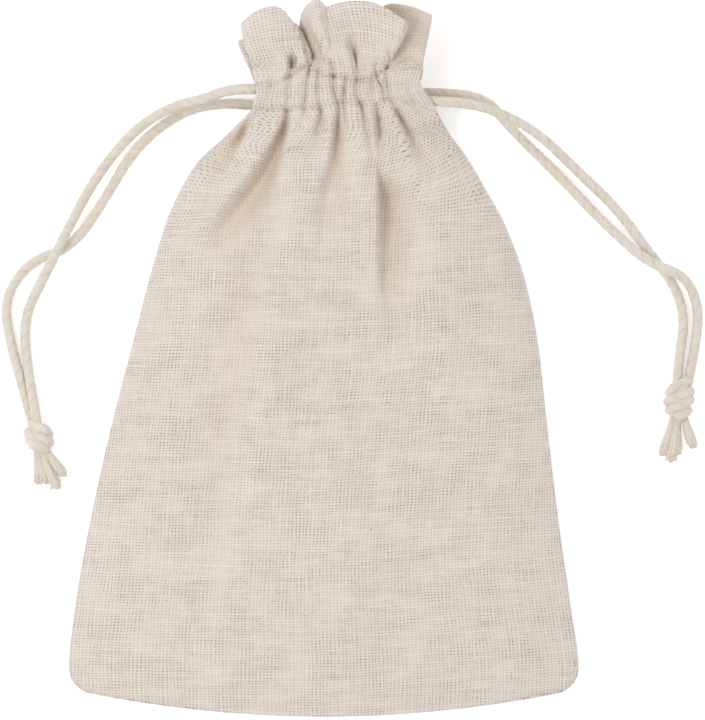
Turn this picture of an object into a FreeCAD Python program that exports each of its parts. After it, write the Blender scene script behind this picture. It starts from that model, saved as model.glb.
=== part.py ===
"""Fabric gift sack with a gathered neck and two drawcords, lying on its back.

Row frame: +X across the sack, +Y from its bottom edge to its mouth, +Z up, away from the surface
that it lies on. The origin is on that surface, under the middle of the sack.
Every length is in millimetres.
"""
import FreeCAD, Part
import math
import os

Vector = FreeCAD.Vector

# --- cloth and seams -----------------------------------------------------------------------
CLOTH = 0.6                  # one layer of loosely woven cotton
SEAM_Z = 1.3                 # height of the side and bottom seams above the surface
SEAM_THICK = 0.6             # the two pressed allowances, inside the sack
SEAM_WIDTH = 5.0
SEAM_LAND = 1.5              # flat edge of each panel where it meets the allowances
ALLOWANCE_TOP = SEAM_Z + SEAM_THICK / 2
ALLOWANCE_BOTTOM = SEAM_Z - SEAM_THICK / 2
PLANE_SKIM = 0.02            # shaved off the back panel, to leave a true plane to rest on

# --- the sack's outline: (y, left x, right x, height of the front's crown) -----------------
# The neck is gathered to a third of the width and stands 2 mm to the right of the middle.
SACK_BOTTOM_Y = -70.0
CASING_Y = 48.0
OUTLINE = [
    (CASING_Y, -15.2, 19.6, 13.4),
    (43.0, -20.6, 25.6, 13.2),
    (36.0, -26.6, 30.6, 12.8),
    (26.0, -31.2, 35.9, 12.0),
    (9.0, -36.0, 41.0, 11.0),
    (-14.0, -41.8, 44.1, 10.0),
    (-38.0, -47.0, 47.2, 8.4),
    (-52.0, -49.3, 49.3, 6.6),
    (-61.0, -50.0, 50.0, 5.0),
]
# The same, round the bottom corners and along the curved bottom edge.
BOTTOM_OUTLINE = [
    OUTLINE[-1],
    (-63.6, -48.6, 48.6, 4.2),
    (-65.0, -45.8, 45.6, 3.7),
    (-66.4, -40.0, 39.0, 3.2),
    (-68.2, -28.0, 24.5, 2.6),
    (SACK_BOTTOM_Y, -10.0, 4.0, 2.2),
]
BOTTOM_SEAM_Y = -65.0        # the allowances of the bottom seam fill the sack below this line

# --- gathered neck: front and back casing, each a tunnel for both cords --------------------
NECK_LEFT = -15.0
NECK_RIGHT = 19.3
CASING_LENGTH = 8.4
GATHERS = 12                 # pleats across the neck
BACK_TOP = 4.0               # the back casing fills z = 0 to here
FRONT_BOTTOM = 8.4           # the mouth is the gap between the two casings
FRONT_TOP = 13.4
GATHER_DEPTH = 0.5
CHANNEL_HEIGHT = 2.6
CHANNEL_CLEAR = 0.35         # between a cord and the tunnel's wall

# --- heading: the frill beyond the casing --------------------------------------------------
HEADING_GAP = 0.3            # between the hinged front frill and its casing
HEADING_TOP_Y = 70.0
BACK_HEADING_TOP_Y = 67.6
HEADING_THICK = 1.2          # doubled cloth, folded over at the top
HEADING_WAVES = 5

# --- drawcords -----------------------------------------------------------------------------
CORD_DIAMETER = 1.9
CORD_LOW_Y = 50.3            # the two cords lie side by side in each tunnel
CORD_HIGH_Y = 52.6
BACK_CORD_Z = 2.0
FRONT_CORD_Z = 10.4
CORD_PULL = 6.0              # how far each cord still draws out
LOOP_INSET = 5.1             # from the neck's side to the start of the cord's far loop
MIN_CORD_RADII = 3.0         # smallest bend allowed in the limp cord, in cord diameters
ARC_SHARE = 0.45             # part of the shorter run that an arc may use

# Routes of the four free strands: out of the casing, then down to the surface and to the knot.
LEFT_UPPER_ROUTE = [
    (NECK_LEFT, CORD_HIGH_Y, FRONT_CORD_Z),
    (-18.2, CORD_HIGH_Y, FRONT_CORD_Z),
    (-22.6, 51.0, 9.0),
    (-29.0, 49.8, 6.6),
    (-36.6, 45.8, 3.8),
    (-44.4, 36.8, 1.9),
    (-49.4, 27.2, 3.4),
    (-54.3, 17.4, 3.4),
    (-59.0, 8.6, 1.3),
    (-58.2, -1.0, 1.3),
    (-57.0, -7.4, 2.5),
    (-56.0, -12.8, 3.1),
]
LEFT_LOWER_ROUTE = [
    (NECK_LEFT, CORD_LOW_Y, BACK_CORD_Z),
    (-20.4, 50.9, BACK_CORD_Z),
    (-29.4, 48.4, 1.2),
    (-37.6, 41.4, 1.0),
    (-43.0, 31.8, 1.0),
    (-49.4, 22.4, 1.0),
    (-58.0, 19.6, 1.0),
    (-62.9, 12.2, 1.0),
    (-61.6, 3.4, 1.0),
    (-59.2, -5.0, 1.0),
    (-57.1, -12.6, 1.2),
]
RIGHT_UPPER_ROUTE = [
    (NECK_RIGHT, CORD_HIGH_Y, BACK_CORD_Z),
    (24.2, CORD_HIGH_Y, BACK_CORD_Z),
    (31.8, 51.8, 1.4),
    (37.2, 45.2, 1.0),
    (45.8, 36.9, 1.0),
    (55.0, 27.0, 1.6),
    (63.8, 19.0, 3.3),
    (70.8, 16.8, 3.3),
    (73.7, 10.8, 1.4),
    (73.2, 3.4, 1.0),
    (71.5, -4.4, 1.6),
]
RIGHT_LOWER_ROUTE = [
    (NECK_RIGHT, CORD_LOW_Y, FRONT_CORD_Z),
    (24.4, CORD_LOW_Y, FRONT_CORD_Z),
    (32.4, 49.2, 7.8),
    (41.6, 45.0, 3.8),
    (49.6, 37.6, 1.2),
    (57.8, 29.8, 1.0),
    (63.9, 21.4, 1.0),
    (69.2, 14.8, 1.0),
    (71.0, 8.0, 1.0),
    (69.9, 1.4, 1.0),
    (69.4, -5.2, 1.4),
]

# --- knots and frayed ends -----------------------------------------------------------------
KNOT_CENTRES = {"left": (-55.8, -14.9, 2.7), "right": (69.7, -7.6, 2.7)}
KNOT_RADII = {"left": (3.0, 3.2, 2.6), "right": (3.1, 4.3, 2.6)}
PLY_START_RADIUS = 0.65
PLY_END_RADIUS = 0.9
PLY_PITCH = 1.45             # between neighbouring plies where they leave the knot
PLY_ENDS = {
    "left": [(-56.5, -24.6), (-54.2, -24.8), (-51.9, -25.6), (-50.1, -23.0)],
    "right": [(65.6, -18.8), (67.8, -20.2), (70.2, -19.2), (73.2, -16.8)],
}

# --- sewing thread -------------------------------------------------------------------------
THREAD_RADIUS = 0.2
STITCH_LENGTH = 2.6
STITCH_PITCH = 4.0
STITCH_INSET = 3.4           # from the sack's edge to the line of stitches
CASING_STITCH_LENGTH = 1.8
CASING_STITCH_INSET = 0.5    # from the casing's edges to its two lines of stitches


def line(a, b):
    return Part.LineSegment(Vector(*a), Vector(*b)).toShape()


def bezier(*points):
    curve = Part.BezierCurve()
    curve.setPoles([Vector(*p) for p in points])
    return curve.toShape()


def box(low, high):
    size = [h - l for l, h in zip(low, high)]
    return Part.makeBox(size[0], size[1], size[2], Vector(*low))


def export(shape, name):
    shape.exportStep(os.path.join("parts", name + ".step"))
    state = "valid" if shape.isValid() else "NOT VALID"
    print(f"{name}: {len(shape.Solids)} solid(s), {shape.Volume:.1f} mm3, {state}")


# --- body panels ---------------------------------------------------------------------------

def dome(y, left, right, z_edge, z_crown):
    """Two curves that rise from both edges and meet level at the crown."""
    middle = (left + right) / 2
    half = (right - left) / 2
    z_flank = z_edge + 0.75 * (z_crown - z_edge)
    return [
        bezier((left, y, z_edge), (left + 0.15 * half, y, z_flank),
               (middle - 0.45 * half, y, z_crown), (middle, y, z_crown)),
        bezier((middle, y, z_crown), (middle + 0.45 * half, y, z_crown),
               (right - 0.15 * half, y, z_flank), (right, y, z_edge)),
    ]


def trough(y, left, right, z_edge, z_floor, run):
    """A flat floor whose two ends turn up to the edges."""
    return [
        bezier((left, y, z_edge), (left + 0.4 * run, y, z_floor), (left + run, y, z_floor)),
        line((left + run, y, z_floor), (right - run, y, z_floor)),
        bezier((right - run, y, z_floor), (right - 0.4 * run, y, z_floor), (right, y, z_edge)),
    ]


def front_section(y, left, right, crown):
    inner_left = left + SEAM_LAND
    inner_right = right - SEAM_LAND
    low = ALLOWANCE_TOP
    outer = dome(y, left, right, low + CLOTH, crown)
    inner = dome(y, inner_left, inner_right, low, crown - CLOTH)
    ends = [
        line((left, y, low), (left, y, low + CLOTH)),
        line((right, y, low + CLOTH), (right, y, low)),
        line((left, y, low), (inner_left, y, low)),
        line((inner_right, y, low), (right, y, low)),
    ]
    return Part.Wire(Part.__sortEdges__(outer + inner + ends))


def back_section(y, left, right, crown):
    inner_left = left + SEAM_LAND
    inner_right = right - SEAM_LAND
    high = ALLOWANCE_BOTTOM
    run = 0.25 * (right - left) / 2
    outer = trough(y, left, right, high - CLOTH, -PLANE_SKIM, run)
    inner = trough(y, inner_left, inner_right, high, CLOTH, run)
    ends = [
        line((left, y, high), (left, y, high - CLOTH)),
        line((right, y, high - CLOTH), (right, y, high)),
        line((left, y, high), (inner_left, y, high)),
        line((inner_right, y, high), (right, y, high)),
    ]
    return Part.Wire(Part.__sortEdges__(outer + inner + ends))


def body_panel(section):
    """A smooth shell down to the bottom corners, and a faceted one round them."""
    upper = Part.makeLoft([section(*station) for station in OUTLINE], True)
    lower = Part.makeLoft([section(*station) for station in BOTTOM_OUTLINE], True, True)
    return upper.fuse(lower)


def back_panel():
    """The back shell, shaved level with the surface that it lies on."""
    low_corner = (OUTLINE[-1][1] - 2 * SEAM_WIDTH, SACK_BOTTOM_Y - 1, -1)
    high_corner = (OUTLINE[-1][2] + 2 * SEAM_WIDTH, CASING_Y + 1, 0)
    below = box(low_corner, high_corner)
    return body_panel(back_section).cut(below)


def rectangle(y, x0, x1, z0, z1):
    corners = [Vector(x0, y, z0), Vector(x1, y, z0), Vector(x1, y, z1), Vector(x0, y, z1)]
    return Part.makePolygon(corners + corners[:1])


def side_seam(side):
    """The pressed allowances of one side seam, from the casing to the bottom seam."""
    def strip(y, left, right, _):
        x0, x1 = (left, left + SEAM_WIDTH) if side == "left" else (right - SEAM_WIDTH, right)
        return rectangle(y, x0, x1, ALLOWANCE_BOTTOM, ALLOWANCE_TOP)
    upper = Part.makeLoft([strip(*station) for station in OUTLINE], True)
    corner = [station for station in BOTTOM_OUTLINE if station[0] >= BOTTOM_SEAM_Y]
    lower = Part.makeLoft([strip(*station) for station in corner], True, True)
    return upper.fuse(lower)


def bottom_seam():
    """The pressed allowances of the bottom seam, which follow the curved bottom edge."""
    sections = []
    for y, left, right, _ in BOTTOM_OUTLINE:
        if y <= BOTTOM_SEAM_Y:
            sections.append(rectangle(y, left, right, ALLOWANCE_BOTTOM, ALLOWANCE_TOP))
    return Part.makeLoft(sections, True, True)


# --- neck ----------------------------------------------------------------------------------

def gathered_band(z_flat, z_crest):
    """A band across the neck: one flat face, and one face of rounded pleats."""
    pitch = (NECK_RIGHT - NECK_LEFT) / GATHERS
    inward = GATHER_DEPTH if z_flat > z_crest else -GATHER_DEPTH
    z_valley = z_crest + inward
    edges = []
    for i in range(GATHERS):
        x0 = NECK_LEFT + i * pitch
        valley = Vector(x0, CASING_Y, z_valley)
        crest = Vector(x0 + pitch / 2, CASING_Y, z_crest)
        next_valley = Vector(x0 + pitch, CASING_Y, z_valley)
        edges.append(Part.Arc(valley, crest, next_valley).toShape())
    edges.append(line((NECK_RIGHT, CASING_Y, z_valley), (NECK_RIGHT, CASING_Y, z_flat)))
    edges.append(line((NECK_RIGHT, CASING_Y, z_flat), (NECK_LEFT, CASING_Y, z_flat)))
    edges.append(line((NECK_LEFT, CASING_Y, z_flat), (NECK_LEFT, CASING_Y, z_valley)))
    return Part.Face(Part.Wire(edges)).extrude(Vector(0, CASING_LENGTH, 0))


def casing(z_flat, z_crest, cord_z, left_loop_y, right_loop_y):
    """A gathered band with a tunnel from side to side, slit open where the cords' loops turn."""
    band = gathered_band(z_flat, z_crest)
    reach = CORD_DIAMETER / 2 + CHANNEL_CLEAR
    z_low = cord_z - CHANNEL_HEIGHT / 2
    z_high = cord_z + CHANNEL_HEIGHT / 2
    tunnel = box((NECK_LEFT - 1, CORD_LOW_Y - reach, z_low), (NECK_RIGHT + 1, CORD_HIGH_Y + reach, z_high))
    slit_z = (z_low - 1, z_low + 1) if z_flat < cord_z else (z_high - 1, z_high + 1)
    slit_length = LOOP_INSET + CORD_PULL + 2 * CHANNEL_CLEAR
    left_y = loop_slit_y(left_loop_y, reach)
    right_y = loop_slit_y(right_loop_y, reach)
    left_slit = box((NECK_LEFT - 1, left_y[0], slit_z[0]), (NECK_LEFT + slit_length, left_y[1], slit_z[1]))
    slit_start = (NECK_RIGHT - slit_length, right_y[0], slit_z[0])
    right_slit = box(slit_start, (NECK_RIGHT + 1, right_y[1], slit_z[1]))
    return band.cut(tunnel).cut(left_slit).cut(right_slit)


def loop_slit_y(loop_y, reach):
    """The slit is wider towards the tunnel's middle, because the loop slants as it turns."""
    middle = (CORD_LOW_Y + CORD_HIGH_Y) / 2
    slant = 0.6 * (middle - loop_y)
    return sorted((loop_y - math.copysign(reach, slant), loop_y + slant + math.copysign(reach, slant)))


def wavy_section(y, left, right, z_middle, height):
    """A wavy ribbon of doubled cloth, seen along Y."""
    count = 2 * HEADING_WAVES
    upper = []
    lower = []
    for i in range(count + 1):
        x = left + (right - left) * i / count
        z = z_middle + (height if i % 2 else -height)
        upper.append(Vector(x, y, z + HEADING_THICK / 2))
        lower.append(Vector(x, y, z - HEADING_THICK / 2))
    top = Part.BSplineCurve()
    top.interpolate(upper)
    bottom = Part.BSplineCurve()
    bottom.interpolate(lower)
    right_end = Part.LineSegment(upper[-1], lower[-1]).toShape()
    left_end = Part.LineSegment(lower[0], upper[0]).toShape()
    return Part.Wire([top.toShape(), right_end, bottom.toShape(), left_end])


def heading(y0, y1, z_middle, height):
    """The frill: gathered at the casing, a little wider at its folded top edge."""
    flare = 1.6
    sections = [
        wavy_section(y0, NECK_LEFT, NECK_RIGHT, z_middle, 0.8 * height),
        wavy_section((y0 + y1) / 2, NECK_LEFT - flare / 2, NECK_RIGHT + flare / 2, z_middle, height),
        wavy_section(y1, NECK_LEFT - flare, NECK_RIGHT + flare, z_middle, height),
    ]
    return Part.makeLoft(sections, True)


# --- cords ---------------------------------------------------------------------------------

def rounded_path(points):
    """Straight runs joined by tangent arcs, and the radius of each arc."""
    points = [Vector(*p) for p in points]
    edges = []
    radii = []
    start = points[0]
    for before, corner, after in zip(points, points[1:], points[2:]):
        arriving = (corner - before).normalize()
        leaving = (after - corner).normalize()
        turn = arriving.getAngle(leaving)
        trim = ARC_SHARE * min((corner - before).Length, (after - corner).Length)
        radius = trim / math.tan(turn / 2)
        arc_start = corner - arriving * trim
        arc_end = corner + leaving * trim
        to_centre = (leaving - arriving).normalize()
        sagitta = radius / math.cos(turn / 2) - radius
        edges.append(Part.LineSegment(start, arc_start).toShape())
        edges.append(Part.Arc(arc_start, corner + to_centre * sagitta, arc_end).toShape())
        radii.append(radius)
        start = arc_end
    edges.append(Part.LineSegment(start, points[-1]).toShape())
    return Part.Wire(edges), radii


def sweep_cord(path, start, direction):
    circle = Part.Circle(start, direction, CORD_DIAMETER / 2).toShape()
    return path.makePipeShell([Part.Wire(circle)], True, True)


def cord_strand(route, name):
    """One free strand, with its length, its tightest bend and its volume printed as a check."""
    path, radii = rounded_path(route)
    points = [Vector(*p) for p in route]
    strand = sweep_cord(path, points[0], points[1] - points[0])
    expected = path.Length * math.pi * CORD_DIAMETER ** 2 / 4
    enough = min(radii) >= MIN_CORD_RADII * CORD_DIAMETER
    print(f"{name}: length {path.Length:.1f} mm, radii {' '.join(f'{r:.1f}' for r in radii)} mm, "
          f"{'all gentle' if enough else 'TOO TIGHT'}, volume ratio {strand.Volume / expected:.4f}")
    return strand


def cord_run(x0, x1, y, z):
    """The straight stretch of a cord inside one casing."""
    return Part.makeCylinder(CORD_DIAMETER / 2, x1 - x0, Vector(x0, y, z), Vector(1, 0, 0))


def cord_loop(x, outward, front_y, back_y):
    """The far end of a cord, where it turns from the front casing into the back one."""
    front = Vector(x, front_y, FRONT_CORD_Z)
    back = Vector(x, back_y, BACK_CORD_Z)
    middle = (front + back) * 0.5
    radius = (front - back).Length / 2
    arc = Part.Arc(front, middle + Vector(outward * radius, 0, 0), back).toShape()
    return sweep_cord(Part.Wire(arc), front, Vector(outward, 0, 0))


def knot(side):
    """The overhand knot's outer shape: an ellipsoid on the surface."""
    scale = FreeCAD.Matrix()
    scale.scale(*KNOT_RADII[side])
    ball = Part.makeSphere(1.0).transformGeometry(scale)
    ball.translate(Vector(*KNOT_CENTRES[side]))
    return ball


def tassel(side):
    """The frayed ends: four plies that fan out from the knot along the surface."""
    centre = Vector(*KNOT_CENTRES[side])
    depth = KNOT_RADII[side][1]
    plies = []
    for i, (x, y) in enumerate(PLY_ENDS[side]):
        offset = (i - 1.5) * PLY_PITCH
        start = Vector(centre.x + offset, centre.y - 0.7 * depth, centre.z - 1.2)
        end = Vector(x, y, PLY_END_RADIUS)
        length = (end - start).Length
        plies.append(Part.makeCone(PLY_START_RADIUS, PLY_END_RADIUS, length, start, end - start))
    return Part.makeCompound(plies)


def make_drawcord(side):
    """All pieces of the cord whose knotted ends hang on this side of the neck."""
    if side == "left":
        front_y, back_y = CORD_HIGH_Y, CORD_LOW_Y
        exit_x = NECK_LEFT
        loop_x = NECK_RIGHT - LOOP_INSET
        outward = 1
        routes = {"upper": LEFT_UPPER_ROUTE, "lower": LEFT_LOWER_ROUTE}
    else:
        front_y, back_y = CORD_LOW_Y, CORD_HIGH_Y
        exit_x = NECK_RIGHT
        loop_x = NECK_LEFT + LOOP_INSET
        outward = -1
        routes = {"upper": RIGHT_UPPER_ROUTE, "lower": RIGHT_LOWER_ROUTE}
    x0, x1 = sorted((exit_x, loop_x))
    export(cord_run(x0, x1, front_y, FRONT_CORD_Z), f"{side}_cord_front_run")
    export(cord_run(x0, x1, back_y, BACK_CORD_Z), f"{side}_cord_back_run")
    export(cord_loop(loop_x, outward, front_y, back_y), f"{side}_cord_far_loop")
    for place, route in routes.items():
        name = f"{side}_cord_{place}_strand"
        export(cord_strand(route, name), name)
    export(knot(side), f"{side}_cord_knot")
    export(tassel(side), f"{side}_cord_tassel")


# --- stitches ------------------------------------------------------------------------------

def stitch(centre, direction, length):
    start = centre - direction.normalize() * (length / 2)
    return Part.makeCylinder(THREAD_RADIUS, length, start, direction)


def edge_point(y, side):
    """The sack's edge at this height, between the outline's stations."""
    stations = OUTLINE + BOTTOM_OUTLINE[1:]
    for above, below in zip(stations, stations[1:]):
        if above[0] >= y >= below[0]:
            share = (above[0] - y) / (above[0] - below[0])
            column = 1 if side == "left" else 2
            return above[column] + share * (below[column] - above[column])
    return 0.0


def side_seam_stitches(side):
    inset = STITCH_INSET if side == "left" else -STITCH_INSET
    count = int((CASING_Y - BOTTOM_SEAM_Y) / STITCH_PITCH) - 1
    stitches = []
    for i in range(count):
        y = CASING_Y - STITCH_PITCH * (i + 0.6)
        centre = Vector(edge_point(y, side) + inset, y, ALLOWANCE_TOP)
        lower_y = y - STITCH_LENGTH / 2
        lower = Vector(edge_point(lower_y, side) + inset, lower_y, ALLOWANCE_TOP)
        stitches.append(stitch(centre, lower - centre, STITCH_LENGTH))
    return Part.makeCompound(stitches)


def bottom_seam_stitches():
    half_row = 30.0
    y = BOTTOM_SEAM_Y - 0.9
    count = int(2 * half_row / STITCH_PITCH)
    stitches = []
    for i in range(count):
        x = -half_row + STITCH_PITCH * (i + 0.5)
        stitches.append(stitch(Vector(x, y, ALLOWANCE_TOP), Vector(1, 0, 0), STITCH_LENGTH))
    return Part.makeCompound(stitches)


def casing_stitches(y, z):
    """One line of stitches across a casing, one stitch to each pleat."""
    pitch = (NECK_RIGHT - NECK_LEFT) / GATHERS
    stitches = []
    for i in range(GATHERS):
        x = NECK_LEFT + (i + 0.5) * pitch
        stitches.append(stitch(Vector(x, y, z), Vector(1, 0, 0), CASING_STITCH_LENGTH))
    return Part.makeCompound(stitches)


# --- assembly ------------------------------------------------------------------------------

def main():
    os.makedirs("parts", exist_ok=True)
    casing_top_y = CASING_Y + CASING_LENGTH
    wave = (FRONT_TOP - FRONT_BOTTOM - HEADING_THICK) / 2 - 0.5
    back_wave = (BACK_TOP - HEADING_THICK) / 2 - 0.3
    export(body_panel(front_section), "front_panel")
    export(back_panel(), "back_panel")
    export(side_seam("left"), "left_side_seam")
    export(side_seam("right"), "right_side_seam")
    export(bottom_seam(), "bottom_seam")
    export(casing(FRONT_BOTTOM, FRONT_TOP, FRONT_CORD_Z, CORD_LOW_Y, CORD_HIGH_Y), "front_casing")
    export(casing(BACK_TOP, 0.0, BACK_CORD_Z, CORD_HIGH_Y, CORD_LOW_Y), "back_casing")
    front_middle = (FRONT_BOTTOM + FRONT_TOP) / 2
    export(heading(casing_top_y + HEADING_GAP, HEADING_TOP_Y, front_middle, wave), "front_heading")
    export(heading(casing_top_y, BACK_HEADING_TOP_Y, BACK_TOP / 2, back_wave), "back_heading")
    for name, z in (("front", FRONT_TOP - THREAD_RADIUS / 2), ("back", THREAD_RADIUS)):
        export(casing_stitches(CASING_Y + CASING_STITCH_INSET, z), f"{name}_casing_lower_stitches")
        export(casing_stitches(casing_top_y - CASING_STITCH_INSET, z), f"{name}_casing_upper_stitches")
    export(side_seam_stitches("left"), "left_seam_stitches")
    export(side_seam_stitches("right"), "right_seam_stitches")
    export(bottom_seam_stitches(), "bottom_seam_stitches")
    make_drawcord("left")
    make_drawcord("right")


main()
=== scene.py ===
import math

import bpy
import numpy as np
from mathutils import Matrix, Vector


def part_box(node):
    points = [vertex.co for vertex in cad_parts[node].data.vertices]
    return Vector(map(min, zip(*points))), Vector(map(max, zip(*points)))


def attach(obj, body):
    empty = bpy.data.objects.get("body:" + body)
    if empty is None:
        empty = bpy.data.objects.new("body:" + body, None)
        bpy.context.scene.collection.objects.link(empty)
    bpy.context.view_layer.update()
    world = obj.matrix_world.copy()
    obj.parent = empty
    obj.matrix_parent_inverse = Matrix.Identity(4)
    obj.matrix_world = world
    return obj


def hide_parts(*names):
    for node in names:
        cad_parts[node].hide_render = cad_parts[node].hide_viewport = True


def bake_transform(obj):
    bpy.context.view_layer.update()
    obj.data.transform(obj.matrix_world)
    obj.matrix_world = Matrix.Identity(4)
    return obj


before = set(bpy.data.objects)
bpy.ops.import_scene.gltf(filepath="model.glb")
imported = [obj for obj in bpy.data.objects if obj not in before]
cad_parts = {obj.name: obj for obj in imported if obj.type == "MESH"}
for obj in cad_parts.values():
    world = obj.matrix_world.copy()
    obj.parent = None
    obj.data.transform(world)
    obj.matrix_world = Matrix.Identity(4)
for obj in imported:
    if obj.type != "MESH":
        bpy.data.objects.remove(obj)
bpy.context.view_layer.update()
MM = 0.001

# --- sizes taken from the frame ---
BODY_LOW, BODY_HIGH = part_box("front_panel")
CASING_LOW, CASING_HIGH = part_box("front_casing")
CASING_BOTTOM_Y = CASING_LOW.y
CASING_TOP_Y = CASING_HIGH.y
BOTTOM_Y = BODY_LOW.y
HALF_WIDTH = BODY_HIGH.x
SEAM_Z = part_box("left_side_seam")[0].z + 0.3 * MM
CORD_DIAMETER = 1.9 * MM

# --- cloth ---
CLOTH = 0.45 * MM
FLAT_WIDTH = 2 * HALF_WIDTH
WARP_PITCH = 0.73 * MM
WEFT_PITCH = 0.56 * MM
COLUMNS = 400


# --- small numeric helpers ---

def smooth(x, low=0.0, high=1.0):
    t = np.clip((x - low) / (high - low), 0.0, 1.0)
    return t * t * (3 - 2 * t)


def through(x, points):
    """A smooth curve through (x, y) points that never overshoots them."""
    xs = np.array([p[0] for p in points], float)
    ys = np.array([p[1] for p in points], float)
    step = np.diff(xs)
    slope = np.diff(ys) / step
    tangent = np.zeros(len(xs))
    tangent[0], tangent[-1] = slope[0], slope[-1]
    same = slope[:-1] * slope[1:] > 0
    tangent[1:-1] = np.where(same, 2 * slope[:-1] * slope[1:] / np.where(same, slope[:-1] + slope[1:], 1), 0)
    x = np.clip(x, xs[0], xs[-1])
    i = np.clip(np.searchsorted(xs, x) - 1, 0, len(step) - 1)
    t = (x - xs[i]) / step[i]
    h00 = 2 * t ** 3 - 3 * t ** 2 + 1
    h10 = t ** 3 - 2 * t ** 2 + t
    h01 = 3 * t ** 2 - 2 * t ** 3
    h11 = t ** 3 - t ** 2
    return h00 * ys[i] + h10 * step[i] * tangent[i] + h01 * ys[i + 1] + h11 * step[i] * tangent[i + 1]


def noise(x, y, size, seed):
    """Smooth random values from -1 to 1, with bumps about size wide."""
    table = np.random.default_rng(seed).uniform(-1, 1, (64, 64))
    gx, gy = x / size + 17.3, y / size + 5.7
    ix, iy = np.floor(gx).astype(int), np.floor(gy).astype(int)
    tx, ty = smooth(gx - ix), smooth(gy - iy)
    a = table[ix % 64, iy % 64]
    b = table[(ix + 1) % 64, iy % 64]
    c = table[ix % 64, (iy + 1) % 64]
    d = table[(ix + 1) % 64, (iy + 1) % 64]
    return (a * (1 - tx) + b * tx) * (1 - ty) + (c * (1 - tx) + d * tx) * ty


# --- mesh helpers ---

def add_object(name, data):
    obj = bpy.data.objects.new(name, data)
    bpy.context.scene.collection.objects.link(obj)
    return obj


def set_inputs(node, values):
    for name, value in values.items():
        node.inputs[name].default_value = value


def grid_mesh(name, points, flat, flip=False, weave=None, marks=None):
    """A sheet from a rows x columns array of points, with UV maps of its flat cut and its weave in metres.

    marks holds values from 0 to 1 for the points, by the name of their attribute.
    """
    rows, columns = points.shape[:2]
    index = np.arange(rows * columns).reshape(rows, columns)
    quads = np.stack([index[:-1, :-1], index[:-1, 1:], index[1:, 1:], index[1:, :-1]], -1).reshape(-1, 4)
    if flip:
        quads = quads[:, ::-1]
    mesh = bpy.data.meshes.new(name)
    mesh.from_pydata(points.reshape(-1, 3).tolist(), [], quads.tolist())
    for uv_name, values in (("Flat", flat), ("Weave", flat if weave is None else weave)):
        layer = mesh.uv_layers.new(name=uv_name)
        layer.data.foreach_set("uv", values.reshape(-1, 2)[quads.reshape(-1)].astype(np.float32).ravel())
    for mark, values in (marks or {}).items():
        attribute = mesh.attributes.new(mark, "FLOAT", "POINT")
        attribute.data.foreach_set("value", values.astype(np.float32).ravel())
    mesh.polygons.foreach_set("use_smooth", np.ones(len(quads), bool))
    mesh.update()
    return add_object(name, mesh)


def thicken(obj, thickness):
    """Turns a sheet into cloth of this thickness, on the side away from its normals."""
    modifier = obj.modifiers.new("Solidify", "SOLIDIFY")
    modifier.thickness = thickness
    modifier.offset = -1.0
    bpy.context.view_layer.update()
    graph = bpy.context.evaluated_depsgraph_get()
    evaluated = obj.evaluated_get(graph)
    solid = bpy.data.meshes.new_from_object(evaluated, preserve_all_data_layers=True, depsgraph=graph)
    obj.modifiers.clear()
    old = obj.data
    obj.data = solid
    bpy.data.meshes.remove(old)
    obj.data.name = obj.name
    return obj


def join(name, objects):
    """Makes one piece of several meshes."""
    for other in bpy.context.selected_objects:
        other.select_set(False)
    for obj in objects:
        obj.select_set(True)
    bpy.context.view_layer.objects.active = objects[0]
    bpy.ops.object.join()
    objects[0].name = name
    objects[0].data.name = name
    return objects[0]


def give_material(obj, material):
    obj.data.materials.clear()
    obj.data.materials.append(material)


def settle(piece, body, slot, material, *nodes):
    """Ties a piece to its body, hides the CAD nodes that it stands for and gives it the material; slot is not
    used.
    """
    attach(piece, body)
    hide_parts(*nodes)
    give_material(piece, material)


# --- camera ---

def add_camera():
    """A long lens straight above the sack, which lies on its back."""
    view_height = 140.6 * MM
    lens = 150.0
    data = bpy.data.cameras.new("camera")
    data.lens = lens
    data.sensor_width = 36.0
    camera = add_object("camera", data)
    centre_x, centre_y, middle_height = 5.66 * MM, 0.2 * MM, 5 * MM
    camera.location = (centre_x, centre_y, middle_height + view_height * lens / data.sensor_width)
    bpy.context.scene.camera = camera


add_camera()

# --- cords ---

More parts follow.
